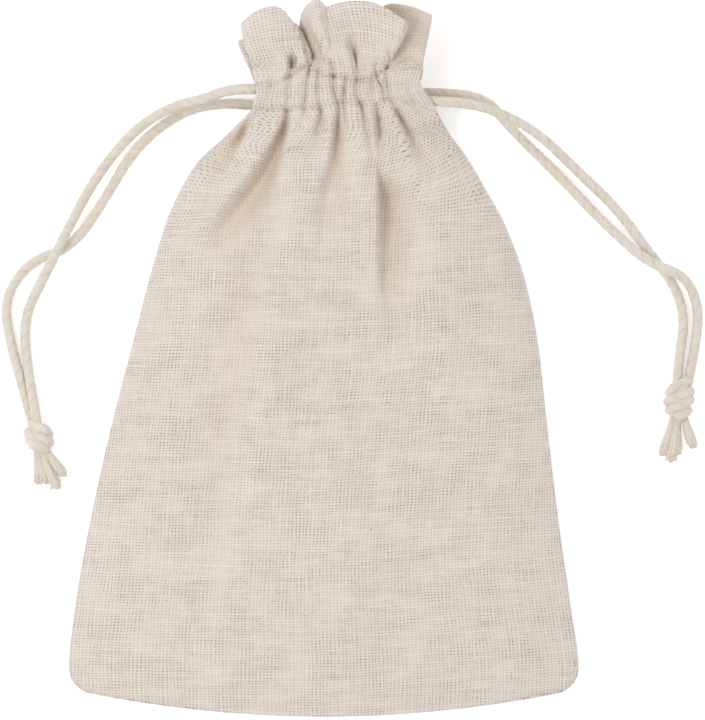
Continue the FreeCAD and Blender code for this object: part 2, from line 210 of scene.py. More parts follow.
# Each free strand's route, from the casing to its knot, in metres.
STRANDS = {
    "left_cord_upper_strand": [
        (-0.015, 0.0526, 0.0104), (-0.0182, 0.0526, 0.0104), (-0.0226, 0.051, 0.009),
        (-0.029, 0.0498, 0.0066), (-0.0366, 0.0458, 0.0038), (-0.0444, 0.0368, 0.0019),
        (-0.0494, 0.0272, 0.0034), (-0.0543, 0.0174, 0.0034), (-0.059, 0.0086, 0.0013),
        (-0.0582, -0.001, 0.0013), (-0.057, -0.0074, 0.0025), (-0.056, -0.0128, 0.0031),
    ],
    "left_cord_lower_strand": [
        (-0.015, 0.0503, 0.002), (-0.0204, 0.0509, 0.002), (-0.0294, 0.0484, 0.0012),
        (-0.0376, 0.0414, 0.001), (-0.043, 0.0318, 0.001), (-0.0494, 0.0224, 0.001),
        (-0.058, 0.0196, 0.001), (-0.0629, 0.0122, 0.001), (-0.0616, 0.0034, 0.001),
        (-0.0592, -0.005, 0.001), (-0.0571, -0.0126, 0.0012),
    ],
    "right_cord_upper_strand": [
        (0.0193, 0.0526, 0.002), (0.0242, 0.0526, 0.002), (0.0318, 0.0518, 0.0014),
        (0.0372, 0.0452, 0.001), (0.0458, 0.0369, 0.001), (0.055, 0.027, 0.0016),
        (0.0638, 0.019, 0.0033), (0.0708, 0.0168, 0.0033), (0.0737, 0.0108, 0.0014),
        (0.0732, 0.0034, 0.001), (0.0715, -0.0044, 0.0016),
    ],
    "right_cord_lower_strand": [
        (0.0193, 0.0503, 0.0104), (0.0244, 0.0503, 0.0104), (0.0324, 0.0492, 0.0078),
        (0.0416, 0.045, 0.0038), (0.0496, 0.0376, 0.0012), (0.0578, 0.0298, 0.001),
        (0.0639, 0.0214, 0.001), (0.0692, 0.0148, 0.001), (0.071, 0.008, 0.001),
        (0.0699, 0.0014, 0.001), (0.0694, -0.0052, 0.0014),
    ],
}
TWIST_PITCH = 5.2 * MM       # length of one full turn of the two plies
KNOT_TURNS = {"left": 2.6, "right": 3.3}
KNOT_PITCH = 4.6 * MM        # the same twist, wound tighter in the knots
CORD_STEP = 0.3 * MM


def route_line(points):
    """The route's smooth NURBS line, as evenly spaced points."""
    curve = bpy.data.curves.new("route", "CURVE")
    curve.dimensions = "3D"
    spline = curve.splines.new("NURBS")
    spline.points.add(len(points) - 1)
    for control, point in zip(spline.points, points):
        control.co = (*point, 1.0)
    spline.order_u = 3
    spline.use_endpoint_u = True
    spline.resolution_u = 24
    obj = bpy.data.objects.new("route", curve)
    mesh = bpy.data.meshes.new_from_object(obj)
    line = np.array([v.co for v in mesh.vertices])
    bpy.data.objects.remove(obj)
    bpy.data.meshes.remove(mesh)
    bpy.data.curves.remove(curve)
    return evenly(line, CORD_STEP)


def distance_along(line):
    """How far each point lies from the line's start."""
    return np.concatenate([[0], np.cumsum(np.linalg.norm(np.diff(line, axis=0), axis=1))])


def evenly(line, spacing):
    """The same line with points at even spacing."""
    lengths = distance_along(line)
    count = max(4, int(lengths[-1] / spacing) + 1)
    at = np.linspace(0, lengths[-1], count)
    return np.stack([np.interp(at, lengths, line[:, k]) for k in range(3)], 1)


def carried_frames(line):
    """Two directions across the line at each point, carried along it without twisting."""
    tangents = np.gradient(line, axis=0)
    tangents /= np.linalg.norm(tangents, axis=1)[:, None]
    start = np.cross(tangents[0], (0.0, 0.3, 1.0))
    across = [start / np.linalg.norm(start)]
    for tangent in tangents[1:]:
        side = across[-1] - tangent * np.dot(across[-1], tangent)
        across.append(side / np.linalg.norm(side))
    across = np.array(across)
    return across, np.cross(tangents, across)


def tube(name, line, radius, sides=12, flatten=1.0, turns=1.0):
    """A closed tube along a line. radius is a number or an array of rings x sides."""
    across, over = carried_frames(line)
    rings = len(line)
    angle = np.linspace(0, 2 * math.pi, sides + 1)[:-1]
    size = np.broadcast_to(np.asarray(radius, float), (rings, sides))
    ring = (across[:, None, :] * np.cos(angle)[None, :, None]
            + over[:, None, :] * np.sin(angle)[None, :, None] * flatten)
    points = line[:, None, :] + ring * size[:, :, None]
    run = distance_along(line)
    vertices = points.reshape(-1, 3).tolist() + [line[0].tolist(), line[-1].tolist()]
    faces = []
    uvs = []
    for i in range(rings - 1):
        for j in range(sides):
            k = (j + 1) % sides
            faces.append((i * sides + j, (i + 1) * sides + j, (i + 1) * sides + k, i * sides + k))
            u, u_next = turns * j / sides, turns * (j + 1) / sides
            uvs += [(u, run[i]), (u, run[i + 1]), (u_next, run[i + 1]), (u_next, run[i])]
    first, last = rings * sides, rings * sides + 1
    for j in range(sides):
        k = (j + 1) % sides
        faces.append((first, j, k))
        uvs += [(j / sides, 0.0)] * 3
        faces.append((last, (rings - 1) * sides + k, (rings - 1) * sides + j))
        uvs += [(j / sides, run[-1])] * 3
    mesh = bpy.data.meshes.new(name)
    mesh.from_pydata(vertices, [], faces)
    layer = mesh.uv_layers.new(name="Flat")
    layer.data.foreach_set("uv", np.array(uvs, np.float32).ravel())
    mesh.polygons.foreach_set("use_smooth", np.ones(len(faces), bool))
    mesh.update()
    return add_object(name, mesh)


def twisted_cord(name, line, diameter=CORD_DIAMETER, pitch=TWIST_PITCH, seed=1):
    """Two soft plies laid round each other: a tube with two helical grooves and small yarn ridges."""
    sides = 36
    run = distance_along(line)
    angle = np.linspace(0, 2 * math.pi, sides + 1)[:-1]
    wander = 0.5 * noise(run, 0.0, 9 * MM, seed)
    turn = angle[None, :] - (2 * math.pi * run / pitch + wander)[:, None]
    from_groove = np.abs((turn + math.pi / 2) % math.pi - math.pi / 2)
    groove = 0.15 * np.exp(-(from_groove / 0.34) ** 2)
    yarns = 0.022 * np.cos(10 * turn + 4 * run[:, None] / pitch)
    swell = 0.05 * noise(run, 3.0, 5 * MM, seed + 1)[:, None]
    radius = diameter / 2 * (1.03 - groove + yarns + swell)
    return tube(name, line, radius, sides)


# The frayed plies' tips below each knot: x and y in metres, width in millimetres.
FRAYED_ENDS = {
    "left": [(-0.0563, -0.0243, 0.62), (-0.0543, -0.0242, 0.72),
             (-0.0522, -0.0252, 0.95), (-0.0507, -0.0226, 0.8)],
    "right": [(0.0664, -0.0187, 0.82), (0.0681, -0.0199, 0.84),
              (0.0697, -0.0184, 0.7), (0.0729, -0.0171, 0.84)],
}


def far_loop_line(side):
    """The hidden part of a drawcord: along the front casing, round its far loop and back."""
    low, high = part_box(f"{side}_cord_front_run")
    back_low, back_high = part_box(f"{side}_cord_back_run")
    front, back = (low + high) / 2, (back_low + back_high) / 2
    outward, exit_x, turn_x = (1, low.x, high.x) if side == "left" else (-1, high.x, low.x)
    middle = (front + back) / 2
    half = (front - back) / 2
    points = [(exit_x, front.y, front.z)]
    for i in range(25):
        a = math.pi * i / 24
        reach = 0.42 * half.length * math.sin(a)
        spot = middle + half * math.cos(a)
        points.append((turn_x + outward * reach, spot.y, spot.z))
    points.append((exit_x, back.y, back.z))
    return evenly(np.array(points), 0.4 * MM)


def knot_box(side):
    """The knot's centre and half its size."""
    low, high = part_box(f"{side}_cord_knot")
    return np.array((low + high) / 2), np.array(high - low) / 2


def tied_knot(side):
    """An overhand knot drawn tight: the cord's turns lie beside each other round a small ball."""
    centre, size = knot_box(side)
    radius = 0.53 * CORD_DIAMETER
    reach = size - radius
    lean = 1 if side == "right" else -1
    turn = np.linspace(-0.15, 2 * math.pi * KNOT_TURNS[side] + 0.15, 420)
    level = 1 - 2 * turn / turn[-1]
    girth = np.sqrt(1 - 0.62 * level ** 2) * (1 + 0.04 * np.sin(2.3 * turn))
    across = lean * np.cos(turn) * girth * reach[0]
    slope = 0.3 * lean * across * (1 + 0.5 * np.sin(0.7 * turn))
    wrap = np.stack([across, level * reach[1] + slope, np.sin(turn) * girth * reach[2]], 1)
    bend = np.linspace(-0.42, 1.05, 120) * math.pi
    over = np.stack([-lean * np.cos(bend) * 0.74 * reach[0] - 0.1 * lean * MM,
                     np.sin(bend * 0.9) * 0.4 * reach[1] + 0.5 * reach[1],
                     np.cos(bend - 0.9) * (reach[2] + 0.25 * MM)], 1)
    parts = []
    for part, line, width, seed in (("turns", wrap, 2 * radius, 11), ("over", over, 1.85 * radius, 12)):
        line = centre + evenly(line, 0.2 * MM)
        parts.append(twisted_cord(f"{side}_knot_{part}", line, width, KNOT_PITCH, seed=seed))
    core_line = centre + np.array([(0, size[1] * 0.62, 0), (0, 0, 0), (0, -size[1] * 0.7, -0.3 * MM)])
    parts.append(tube(f"{side}_knot_core", evenly(core_line, 0.4 * MM), 0.68 * size[0], 20))
    return join(f"{side}_knot", parts)


def frayed_end(side, plies, seed):
    """The cord's ends below the knot, opened out into soft flat bundles of fibre with ragged tips."""
    centre, half = knot_box(side)
    rng = np.random.default_rng(seed)
    parts = []
    sides = 40
    around = np.linspace(0, 2 * math.pi, sides + 1)[:-1]
    for ply, (x, y, width) in enumerate(plies):
        beside = (ply - (len(plies) - 1) / 2) * 0.62 * MM
        start = np.array([centre[0] + beside, centre[1] - 0.5 * half[1], 2.0 * MM])
        tip = np.array([x, y, (0.75 + 0.35 * (ply % 2)) * MM])
        t = np.linspace(0, 1, 60)
        line = start + (tip - start) * t[:, None]
        line[:, 0] += 0.35 * MM * math.copysign(1, x - centre[0]) * np.sin(math.pi * t) * -1
        line[:, 2] += 0.35 * MM * np.sin(math.pi * t)
        lobes = np.cos(5 * around[None, :] + 1.6 * t[:, None] + ply)
        strands = np.cos(13 * around[None, :] + 2.4 * t[:, None] + 2 * ply)
        grow = (0.7 + 0.42 * smooth(t, 0.0, 0.75))[:, None] * width * MM
        close = (np.sqrt(np.maximum(1 - smooth(t, 0.78, 1.03) ** 2, 0.05)))[:, None]
        radius = grow * close * (1 + 0.13 * lobes * smooth(t, 0.1, 0.6)[:, None] + 0.05 * strands)
        parts.append(tube(f"{side}_ply", line, radius, sides, flatten=0.72))
        direction = (tip - start) / np.linalg.norm(tip - start)
        for tuft in range(26):
            angle = rng.uniform(0, 2 * math.pi)
            out = math.sqrt(rng.uniform(0.05, 1)) * width * 0.98 * MM
            root = line[44] + np.array([out * math.cos(angle), 0, 0.72 * out * math.sin(angle)])
            share = rng.uniform(0.55, 1.08) - 0.28 * (out / (width * MM)) ** 2
            length = share * np.linalg.norm(line[-1] - line[44]) + 0.1 * MM
            spread = np.array([math.cos(angle) * rng.uniform(0.0, 0.35), 0, 0.1 * math.sin(angle)])
            k = np.linspace(0, 1, 9)[:, None]
            fibre = root + (direction + spread * k) * length * k
            fibre[:, 2] = np.maximum(fibre[:, 2], 0.16 * MM)
            parts.append(tube(f"{side}_fibre", fibre, 0.15 * MM * (1 - 0.35 * k ** 3), 7, turns=0.06))
    return join(f"{side}_tassel", parts)


def add_drawcords():
    pieces = {}
    lines = {}
    for seed, (node, route) in enumerate(STRANDS.items()):
        lines[node] = route_line(route)
        inward = 1 if node.startswith("left") else -1
        hidden_start = [np.array(route[0]) + (inward * reach * MM, 0, 0) for reach in (2.7, 1.8, 0.9)]
        into_knot = knot_box(node.split("_")[0])[0] - lines[node][-1]
        hidden_end = [lines[node][-1] + into_knot * share for share in (0.2, 0.45, 0.7)]
        shown = evenly(np.concatenate([hidden_start, lines[node], hidden_end]), CORD_STEP)
        pieces[node] = twisted_cord(node + "_plies", shown, seed=20 + seed)
    knots = {side: tied_knot(side) for side in ("left", "right")}
    tassels = {side: frayed_end(side, FRAYED_ENDS[side], seed) for side, seed in (("left", 5), ("right", 6))}
    for side in ("left", "right"):
        body = f"{side}_drawcord"
        knot, tassel = knots[side], tassels[side]
        hidden = twisted_cord(f"{side}_cord_inside", far_loop_line(side), seed=40)
        hidden_nodes = [f"{side}_cord_{part}" for part in ("front_run", "back_run", "far_loop")]
        settle(hidden, body, "cord", CORD_MATERIAL, *hidden_nodes)
        settle(knot, body, "cord", CORD_MATERIAL, f"{side}_cord_knot")
        settle(tassel, body, "cord", CORD_MATERIAL, f"{side}_cord_tassel")
        for place in ("upper", "lower"):
            node = f"{side}_cord_{place}_strand"
            settle(pieces[node], body, "cord", CORD_MATERIAL, node)


# --- materials ---

class Signal:
    """A value in a shader, which adds, subtracts and multiplies like a number."""

    def __init__(self, shader, socket):
        self.shader = shader
        self.socket = socket

    def __add__(self, other):
        return self.shader.math("ADD", self, other)

    def __radd__(self, other):
        return self.shader.math("ADD", other, self)

    def __sub__(self, other):
        return self.shader.math("SUBTRACT", self, other)

    def __rsub__(self, other):
        return self.shader.math("SUBTRACT", other, self)

    def __mul__(self, other):
        return self.shader.math("MULTIPLY", self, other)


class Shader:
    """A node material built from short expressions."""

    def __init__(self, name, roughness, sheen, sheen_roughness=0.5):
        self.material = bpy.data.materials.new(name)
        self.material.use_nodes = True
        self.tree = self.material.node_tree
        self.surface = self.tree.nodes["Principled BSDF"]
        set_inputs(self.surface, {"Roughness": roughness, "Specular IOR Level": 0.25,
                                  "Sheen Weight": sheen, "Sheen Roughness": sheen_roughness})

    def put(self, socket, value):
        if isinstance(value, Signal):
            self.tree.links.new(value.socket, socket)
        else:
            socket.default_value = value

    def node(self, kind, inputs, output=0, **settings):
        """Adds a node, fills its inputs and returns one of its outputs."""
        node = self.tree.nodes.new("ShaderNode" + kind)
        for name, value in settings.items():
            setattr(node, name, value)
        for name, value in inputs.items():
            self.put(node.inputs[name], value)
        return Signal(self, node.outputs[output])

    def math(self, operation, a, b=0.0):
        return self.node("Math", {0: a, 1: b, 2: 0.0}, operation=operation)

    def vector(self, x, y, z=0.0):
        return self.node("CombineXYZ", {0: x, 1: y, 2: z})

    def split(self, vector):
        node = self.tree.nodes.new("ShaderNodeSeparateXYZ")
        self.put(node.inputs[0], vector)
        return [Signal(self, output) for output in node.outputs]

    def flat(self, uv_name="Flat"):
        """The two coordinates of a UV map, in metres."""
        return self.split(self.node("UVMap", {}, uv_map=uv_name))[:2]

    def noise(self, x, y, z=0.0, detail=1.0):
        """Smooth noise from 0 to 1, about one bump for each unit of x and y."""
        inputs = {"Scale": 1.0, "Detail": detail, "Vector": self.vector(x, y, z)}
        return self.node("TexNoise", inputs, "Fac")

    def attribute(self, name):
        return self.node("Attribute", {}, "Fac", attribute_name=name)

    def random(self, x, y):
        """One random value from 0 to 1 for each whole x and y."""
        return self.node("TexWhiteNoise", {"Vector": self.vector(x, y)}, "Value", noise_dimensions="2D")

    def ramp(self, value, low, high):
        """Smoothly from 0 at low to 1 at high."""
        inputs = {"Value": value, "From Min": low, "From Max": high}
        return self.node("MapRange", inputs, interpolation_type="SMOOTHSTEP")

    def mix(self, share, a, b):
        return self.node("Mix", {"Factor": share, 6: a, 7: b}, 2, data_type="RGBA")

    def tint(self, colour, factor):
        """The colour, darker or lighter by a factor."""
        return self.node("VectorMath", {0: colour, "Scale": factor}, operation="SCALE")

    def finish(self, colour, height, depth):
        bump = self.node("Bump", {"Distance": depth, "Strength": 1.0, "Height": height})
        self.put(self.surface.inputs["Base Color"], colour)
        self.put(self.surface.inputs["Normal"], bump)
        return self.material


def thread_profile(s, across, half_width):
    """How far a round thread stands up at this distance from its middle: 1 to 0."""
    share = s.math("DIVIDE", across, half_width)
    return s.math("SQRT", s.math("MAXIMUM", 1.0 - share * share, 0.0))


def scaled(colour, *factors):
    return tuple(c * f for c, f in zip(colour, (*factors, 1.0)))


def weave_material(name, light, dark):
    """Plain weave of uneven cotton threads, with small uneven holes between them, slubs and flecks; painted
    shade lies on the threads' low parts and, warmer, in the folds.
    """
    s = Shader(name, 0.92, sheen=0.25, sheen_roughness=0.6)
    x, y = s.flat("Weave")
    warp_wander = s.noise(x * 300, y * 110) - 0.5
    weft_wander = (s.noise(x * 100, y * 320, 7.0) - 0.5) * 1.2
    u = x * (1 / WARP_PITCH) + warp_wander
    v = y * (1 / WEFT_PITCH) + weft_wander
    warp_index, weft_index = s.math("FLOOR", u), s.math("FLOOR", v)
    warp_across = s.math("FRACT", u) - 0.5
    weft_across = s.math("FRACT", v) - 0.5
    warp_slub = s.noise(warp_index * 3.1, v * 0.09, 1.0, detail=2.0)
    weft_slub = s.noise(u * 0.08, weft_index * 3.7, 4.0, detail=2.0)
    warp = thread_profile(s, warp_across, 0.24 + warp_slub * 0.32)
    weft = thread_profile(s, weft_across, 0.22 + weft_slub * 0.38)
    warp_sign = 1.0 - s.math("MODULO", s.math("ABSOLUTE", warp_index), 2.0) * 2.0
    weft_sign = 1.0 - s.math("MODULO", s.math("ABSOLUTE", weft_index), 2.0) * 2.0
    warp_wave = s.math("SINE", v * math.pi) * warp_sign
    weft_wave = s.math("SINE", u * math.pi) * weft_sign
    warp_height = warp * (0.62 + warp_wave * 0.38)
    weft_height = weft * (0.62 - weft_wave * 0.38)
    height = s.math("MAXIMUM", warp_height, weft_height)
    hole_here = s.random(s.math("ROUND", u), s.math("ROUND", v))
    soft_patch = s.ramp(s.noise(x * 120, y * 150, 12.0, detail=3.0), 0.34, 0.62)
    hole = 1.0 - s.ramp(s.math("MAXIMUM", warp, weft), 0.0, 0.85)
    closed = s.attribute("closed") * 0.75
    hole = hole * (0.4 + hole_here * hole_here * 1.15) * (0.52 + soft_patch * 0.82) * (1.0 - closed)
    fibre = s.noise(x * 9000, y * 9000, 2.0, detail=2.0)
    fuzz = s.noise(x * 2600, y * 2600, 6.0, detail=2.0)
    # Painted shade: the threads darker where they dip, lighter on their tops; the slubs, fibres and fuzz add
    # their own tone.
    shade = 0.87 + height * 0.1
    for part, strength in ((warp_slub, 0.1), (weft_slub, 0.19), (fibre, 0.06), (fuzz, 0.16)):
        shade = shade + (part - 0.5) * strength
    blotch = s.noise(x * 45, y * 38, 3.0, detail=3.0)
    colour = s.mix(s.ramp(blotch, 0.35, 0.65), light, scaled(light, 0.995, 0.982, 0.962))
    cool = s.ramp(s.noise(x * 150, y * 520, 15.0), 0.62, 0.74)
    colour = s.mix(cool * 0.5, colour, scaled(light, 0.955, 0.99, 1.06))
    colour = s.tint(colour, shade)
    colour = s.mix(hole, colour, dark)
    # Painted shade: darker, warmer cloth in the folds, gathers and dents, by their depth.
    colour = s.mix(s.attribute("crease_shade") * 0.55, colour, scaled(light, 0.86, 0.76, 0.66))
    fleck = s.ramp(s.noise(x * 520, y * 900, 9.0), 0.8, 0.84)
    colour = s.mix(fleck * 0.75, colour, (0.3, 0.19, 0.1, 1.0))
    bump = height * (0.55 + soft_patch * 0.45) + fuzz * 0.25
    return s.finish(colour, bump, 0.15 * MM)


def cord_material():
    """Soft twisted cotton: fine fibres that follow the plies, with painted shade in the grooves."""
    s = Shader("twisted_cotton", 0.9, sheen=0.35, sheen_roughness=0.5)
    around, along = s.flat()
    lay = around - along * (1 / TWIST_PITCH)
    angle = lay * (4 * math.pi)
    from_groove = 0.5 + s.math("COSINE", angle) * 0.5
    yarn = 0.5 + s.math("SINE", lay * (20 * math.pi)) * 0.5
    streak = s.noise(lay * 34, along * 260, 1.0, detail=3.0)
    fine = s.noise(lay * 120, along * 900, 5.0, detail=2.0)
    patch = s.noise(around * 2, along * 120, 8.0, detail=1.0)
    shade = 0.9 + (streak - 0.5) * 0.4
    shade = shade + (fine - 0.5) * 0.12
    # Painted shade in the grooves between the plies.
    shade = shade - s.ramp(from_groove, 0.8, 1.0) * 0.05
    colour = s.mix(s.ramp(patch, 0.3, 0.7), (0.86, 0.765, 0.645, 1.0), (0.88, 0.815, 0.73, 1.0))
    colour = s.tint(colour, shade)
    height = yarn * 0.35 + (streak * 0.6 + fine * 0.25)
    return s.finish(colour, height, 0.14 * MM)


def thread_material():
    """Fine sewing thread, with its own tight twist and painted shade in the twist's grooves."""
    s = Shader("sewing_thread", 0.8, sheen=0.2)
    x, y, z = s.split(s.node("TexCoord", {}, "Object"))
    diagonal = x + y + z
    ply = s.math("SINE", diagonal * (2 * math.pi / (0.35 * MM)))
    fibre = s.noise(x * 7000, y * 7000, detail=2.0)
    # Painted shade: darker in the twist's grooves, lighter on its ridges.
    colour = s.tint((0.8, 0.75, 0.68), 0.9 + ply * 0.07)
    return s.finish(colour, ply * 0.5 + fibre, 0.04 * MM)


CLOTH_MATERIAL = weave_material("cotton_weave", (0.8, 0.726, 0.655, 1.0), (0.33, 0.24, 0.16, 1.0))
# The seam allowances inside the sack get a darker, warmer copy of the weave: painted shade.
SEAM_MATERIAL = weave_material("cotton_weave_shaded_inside", (0.77, 0.69, 0.61, 1.0), (0.31, 0.23, 0.15, 1.0))
CORD_MATERIAL = cord_material()
THREAD_MATERIAL = thread_material()

add_drawcords()

# --- the sack's cloth ---
# Outline of the lying sack, (y, left x, right x) in millimetres, from the heading's foot down.
OUTLINE = [
    (58, -14.2, 18.3), (56.2, -13.8, 19), (54.2, -13.3, 18.7), (52.2, -12.9, 19.5), (50.6, -13.2, 20.6),
    (48.5, -14, 21.9), (46.5, -16.4, 23.3), (44.2, -19.2, 25), (39.3, -24.6, 28.6), (33.4, -28.3, 32),
    (27.5, -30.9, 35.3), (15.8, -34.4, 39.6), (4.1, -37.4, 42), (-13.5, -41.9, 44), (-31.1, -45.8, 46.1),
    (-48.6, -48.9, 48.6), (-60.5, -50.1, 50.1), (-70, -50, 50),
]
CROWN = [(-70, 4.4), (-62, 5.6), (-50, 7.4), (-38, 8.4), (-14, 9.8), (9, 10.8), (26, 11.8),
         (44, 12.9), (50, 13.4), (58, 13.4)]
# The gathers, from left to right: valley line as (y, x), half width, and depth as (y, depth).
GATHERS = [
    ([(55, -10), (53, -10.2), (49.7, -11.3), (47, -13.8), (43.5, -16.2), (40, -18.6)], 0.5,
     [(57, 0), (53, 0.5), (49, 0.6), (46, 1), (42, 0.8), (38, 0)]),
    ([(57.3, -5.8), (54, -6.6), (49.7, -6.8), (46.5, -7.2), (42, -8.3), (37.3, -10.2)], 0.48,
     [(60, 0), (57, 1.3), (53, 0.9), (49.7, 0.7), (46.5, 1.3), (42, 0.9), (37, 0)]),
    ([(58, -2.4), (56.8, -2.5), (53.5, -3.1), (49.1, -3.5), (46, -3.8), (42, -4.4)], 0.34,
     [(60, 0), (56.8, 1.5), (53.5, 0.9), (49.1, 1), (46.5, 0.4), (43, 0)]),
    ([(57, -0.6), (55.7, -1), (51.3, -0.9), (47.2, -0.4), (45.8, -0.8), (42, -1.2)], 0.36,
     [(58, 0), (55.7, 0.9), (51.3, 0.5), (48, 0.9), (45.8, 0.8), (43, 0)]),
    ([(58, 1.2), (56.3, 1.9), (52.7, 2.1), (48.6, 2.9), (44.5, 2.7), (37.3, 2.4), (33, 2.4)], 0.42,
     [(61, 0), (56.3, 1.4), (52.7, 1), (48.6, 1.2), (44.5, 1.1), (38, 0.7), (33, 0)]),
    ([(55, 4.4), (53, 4.1), (50.2, 3.9), (47.8, 4.1), (44, 4.6)], 0.34,
     [(56, 0), (54, 0.7), (50.2, 1.5), (47.8, 1.1), (43, 0)]),
    ([(57.5, 6.3), (55.2, 6.5), (51.6, 6.4), (49.4, 7.3), (45.8, 8.2), (41.7, 9.3), (37.6, 9.8),
      (32, 10.8)], 0.4,
     [(61, 0), (57, 1.5), (54, 0.9), (51.6, 0.6), (49.4, 1.6), (45.8, 0.9), (41, 0.9), (36, 0)]),
    ([(55, 9.4), (53.6, 9.6), (49.7, 10.2), (45.8, 10.8), (41.7, 10.9), (38, 11.4), (31, 12.4)], 0.46,
     [(56, 0), (53.3, 1.3), (50.8, 0.5), (48.8, 1.7), (45.8, 1.9), (41.7, 1.3), (36, 0)]),
    ([(56.5, 10.1), (54.9, 10.4), (51.9, 11.5), (48.6, 12.2), (45, 12.9)], 0.3,
     [(58, 0), (54.9, 1.4), (51.9, 1.2), (49, 0.5), (46, 0)]),
    ([(58.5, 12.8), (56.5, 12), (51.3, 12.7), (48.6, 14.2), (45.3, 15.8), (41, 18.2)], 0.44,
     [(61, 0), (56.5, 1.5), (51.3, 1.3), (48.6, 1.4), (45.3, 1), (40, 0)]),
    ([(57, 16), (52, 16.8), (47.5, 19), (43, 21.8)], 0.5,
     [(58, 0), (53, 0.3), (49, 0.7), (45, 0.4), (41, 0)]),
]
# Folds that run down the body: valley line as (y, x), depth, and how wide its left and right sides are, by y.
FOLDS = [
    ([(49, -13.6), (48.2, -14.1), (44.7, -15.6), (41.9, -16.8), (36, -20.5)],
     [(50, 0), (47.5, 1.1), (44, 2.7), (41, 2.1), (34, 0)], [(48, 1.4), (42, 3.8)], [(48, 0.4), (40, 1)]),
    ([(49, -6.9), (47.5, -7), (43, -8.3), (36.3, -11.4), (30, -15.8), (25, -19.6)],
     [(50, 0), (46.5, 1.7), (42, 3.4), (36, 4.2), (30, 3.4), (25, 2), (18, 0)],
     [(48, 0.7), (42, 1.3), (36, 1.9), (26, 2.6)], [(48, 0.6), (42, 1.2), (36, 2.6), (28, 4.6)]),
    ([(49, 3), (44.9, 2.6), (39.5, 2), (34, 1), (26, 0.4)],
     [(51, 0), (47.5, 0.9), (44, 2), (39, 1.9), (33, 1.6), (26, 0.9), (18, 0)],
     [(48, 0.4), (40, 0.6), (30, 1.6)], [(48, 1), (40, 2.6), (30, 5)]),
    ([(40, 10), (36.2, 10.8), (31, 11.1), (24, 11.3), (16, 12), (6, 14)],
     [(38.5, 0), (35.5, 1.6), (31.5, 3.9), (27, 3.6), (20, 2.2), (12, 1), (3, 0)],
     [(36, 0.35), (24, 0.5), (14, 1.2), (6, 3)], [(37, 0.8), (33.5, 4), (28, 7), (20, 7.4), (6, 7.4)]),
    ([(49, 13.4), (45.9, 15.8), (42.5, 17.6), (36, 21)],
     [(51, 0), (48, 1.1), (44, 1.5), (40, 0.8), (34, 0)], [(48, 0.6), (38, 1.6)], [(48, 0.9), (38, 2.4)]),
    ([(49, -0.4), (45, -0.6), (41, -1.2)],
     [(50, 0), (47, 1), (44.5, 0.8), (40, 0)], [(48, 0.7), (42, 1.6)], [(48, 0.6), (42, 1.6)]),
    ([(33, -9.5), (28, -10.2), (-6, -16.4), (-24, -18.6), (-46, -21)],
     [(37, 0), (28, 0.8), (12, 1.35), (-6, 1.3), (-24, 0.9), (-46, 0)],
     [(33, 5), (0, 8), (-40, 8)], [(33, 3), (0, 3.8), (-40, 5)]),
]
# Soft ridges: centre line as (y, x), half width, height.
RIDGES = [
    ([(40, -4), (11.9, -9.5), (-13.5, -13.3), (-50.6, -18.2)], 4.2, 1.15),
    ([(44, 6.2), (34, 7.6), (20, 9.4), (8, 11.5)], 2, 0.7),
    ([(40, -13), (22, -27)], 3.6, 0.9),
    ([(44, 13.6), (24, 19), (-2, 24)], 4, 0.9),
    ([(20, 30), (-20, 31), (-50, 27)], 8, 0.45),
    ([(0, 4), (-30, 6.5), (-58, 5)], 7, 0.45),
    ([(-10, -30), (-55, -38)], 6, 0.4),
]
# Where slanting cloth closes the weave's holes: centre line as (y, x), half width, strength.
CLOSED_WEAVE = [
    ([(36, -9.2), (29, -9.4), (-6, -16.2), (-24, -18.4), (-46, -20.5)], 1.7, 0.95),
    ([(12, 0.6), (0, 0.6), (-10, 0)], 4.6, 0.6),
    ([(18, 5), (11, 5)], 6.5, 0.65),
    ([(38, 0.8), (23, -0.2)], 2.2, 0.7),
    ([(34, 14.5), (21, 20.5)], 2.2, 0.75),
    ([(36, -17), (22, -26.5)], 3.8, 0.55),
]
# Where the casing's two lines of stitching pull the gathered cloth in, as (x, y).
UPPER_STITCHING = [
    (-14, 53.2), (-9.5, 53.4), (-6.4, 55), (-4, 56.3), (-2.3, 56.8), (-0.9, 55.9), (3, 54.7),
    (8.5, 54.1), (10.5, 55), (12, 56.5), (19, 56.8),
]
LOWER_STITCHING = [
    (-14, 49), (-6.8, 48.5), (-3.5, 48.9), (-0.4, 48.6), (4, 50), (7, 49.6), (10, 49.6),
    (12.7, 50.6), (17, 49.8), (20, 49.4),
]
# The heading's top edge, by share of the flat width from 0 to 1: x, y and z in millimetres.
FRONT_TOP_EDGE = [
    (0, -15.7, 66.1, 10.6), (0.04, -14, 67.5, 12.4), (0.09, -11.4, 68.7, 13.4), (0.13, -9.4, 69, 13.8),
    (0.17, -7.6, 68.2, 13.8), (0.205, -6.3, 66.7, 13.5), (0.235, -5.4, 65.5, 12.7), (0.26, -5.9, 65.3, 10.9),
    (0.3, -5.3, 65.4, 9.4), (0.33, -4.3, 66.3, 9.9), (0.36, -3.8, 68.2, 11.4), (0.39, -2.7, 69.8, 12.8),
    (0.42, -1.4, 70.4, 13.4), (0.445, -0.4, 70, 12.9), (0.47, 0.4, 69.1, 12), (0.51, 2.7, 69.7, 12.8),
    (0.56, 5.4, 70, 13.5), (0.62, 8.6, 69.9, 13.9), (0.7, 11.6, 68.8, 14), (0.77, 14.3, 67.1, 13.9),
    (0.805, 16, 65.8, 13.1), (0.83, 15.8, 65, 11.2), (0.855, 14, 65.6, 9.4), (0.875, 11.9, 66.9, 8.8),
    (0.895, 11.4, 69.2, 8.7), (0.92, 13.4, 70.1, 8.9), (0.95, 17, 69.5, 9.2), (1.000, 21, 67.9, 8.4),
]
BACK_TOP_EDGE = [
    (0, -16.5, 62.7, 5.6), (0.15, -12, 64.2, 6.2), (0.3, -5.2, 65.3, 5.2), (0.45, 0.5, 67.2, 5),
    (0.62, 7, 68.6, 4.4), (0.8, 13, 68.8, 5), (1.00, 19.6, 66.6, 4.6),
]
